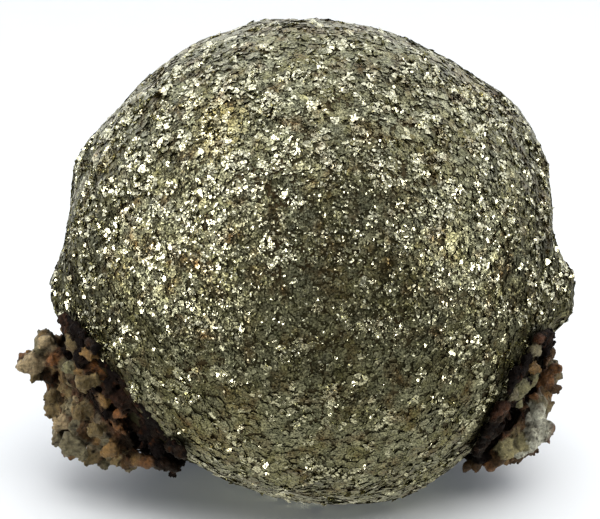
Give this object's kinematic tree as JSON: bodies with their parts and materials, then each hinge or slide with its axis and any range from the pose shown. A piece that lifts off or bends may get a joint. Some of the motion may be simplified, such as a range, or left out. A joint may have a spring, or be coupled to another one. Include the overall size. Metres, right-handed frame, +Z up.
{
  "type": "marcasite nodule",
  "caption": "Near-round marcasite nodule covered in small flat crystal plates, grown in a cupped piece of rusty quartz rock and resting on a small flat spot.",
  "frame": {"origin": "centre of the small flat spot under the ball that the specimen rests on", "axes": "+Z up, +X to the right as seen from the front, front towards -Y"},
  "size_m": [0.0634, 0.0584, 0.0547],
  "materials": {
    "marcasite": "metallic lustre, brassy olive grey, bright small crystal faces with dark crevices",
    "quartz_matrix": "rough, pale quartz grains in dark rusty iron oxide cement"
  },
  "bodies": {
    "root": {"marcasite_nodule": "marcasite", "matrix": "quartz_matrix"}
  },
  "joints": []
}
